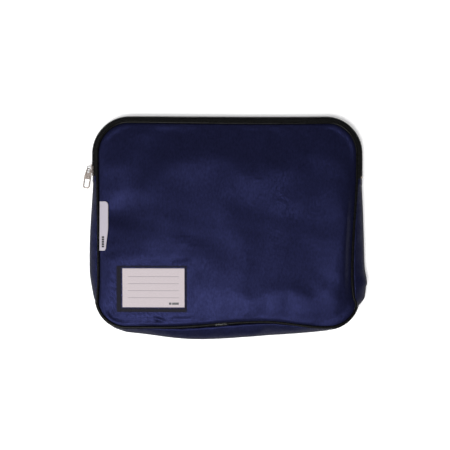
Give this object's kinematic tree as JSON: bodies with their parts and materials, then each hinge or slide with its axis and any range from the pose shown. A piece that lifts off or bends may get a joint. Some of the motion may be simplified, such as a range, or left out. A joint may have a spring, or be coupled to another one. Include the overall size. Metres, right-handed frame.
{
  "type": "cash deposit bag",
  "caption": "Flat zipped cash deposit bag in coated cloth, with a gusset, piped seams, a clear card pocket, a side label and a nickel pull tab.",
  "frame": {"origin": "centre of the back panel's outer face, which the bag lies on", "axes": "+Z out of the front panel, +Y towards the zipped end, +X towards the right side as one reads the front"},
  "size_m": [0.4068, 0.3211, 0.0406],
  "materials": {
    "bag_cloth": "satin coated weave",
    "piping_vinyl": "gloss",
    "piping_filler": "cotton cord",
    "binding_tape": "woven",
    "zip_tape": "woven",
    "zip_coil": "satin nylon",
    "nickel": "polished nickel plate",
    "clear_film": "clear gloss",
    "card_stock": "matte",
    "label_satin": "satin"
  },
  "bodies": {
    "bag": {"back_panel": "bag_cloth", "back_piping_cover": "piping_vinyl", "back_piping_cord": "piping_filler", "back_seam_binding": "binding_tape", "gusset": "bag_cloth", "front_panel": "bag_cloth", "front_piping_cover": "piping_vinyl", "front_piping_cord": "piping_filler", "front_seam_binding": "binding_tape", "back_zip_tape": "zip_tape", "back_zip_coil": "zip_coil", "front_zip_tape_ends": "zip_tape", "front_zip_coil_ends": "zip_coil", "zip_bottom_stop": "nickel", "zip_top_stops": "nickel", "card_pocket_back": "clear_film", "card_pocket_window": "clear_film"},
    "flap": {"flap_panel": "bag_cloth", "flap_piping_cover": "piping_vinyl", "flap_piping_cord": "piping_filler", "flap_seam_binding": "binding_tape", "flap_zip_tape": "zip_tape", "flap_zip_coil": "zip_coil"},
    "slider": {"slider_body": "nickel", "slider_bridge": "nickel"},
    "tab": {"pull_tab": "nickel"},
    "card": {"name_card": "card_stock"},
    "label": {"side_label": "label_satin"}
  },
  "joints": [
    {"name": "flap_fold", "type": "hinge", "parent": "bag", "child": "flap", "pos_m": [0, 0.10397, 0.0278], "axis": [1, 0, 0], "range_deg": [0, 70]},
    {"name": "slider_run", "type": "slide", "parent": "bag", "child": "slider", "axis": [-0.0029, 0.9999, -0.0171], "range_m": [0, 0.013]},
    {"name": "tab_swing", "type": "hinge", "parent": "slider", "child": "tab", "pos_m": [-0.19833, 0.079, 0.0144], "axis": [-0.2017, 0, -0.9794], "range_deg": [-3, 140]},
    {"name": "card_slide", "type": "slide", "parent": "bag", "child": "card", "axis": [0, 0.9996, 0.03], "range_m": [0, 0.06]},
    {"name": "label_flip", "type": "hinge", "parent": "bag", "child": "label", "pos_m": [-0.18157, 0.0315, 0.02808], "axis": [0, -0.9994, 0.0341], "range_deg": [0, 110]}
  ]
}
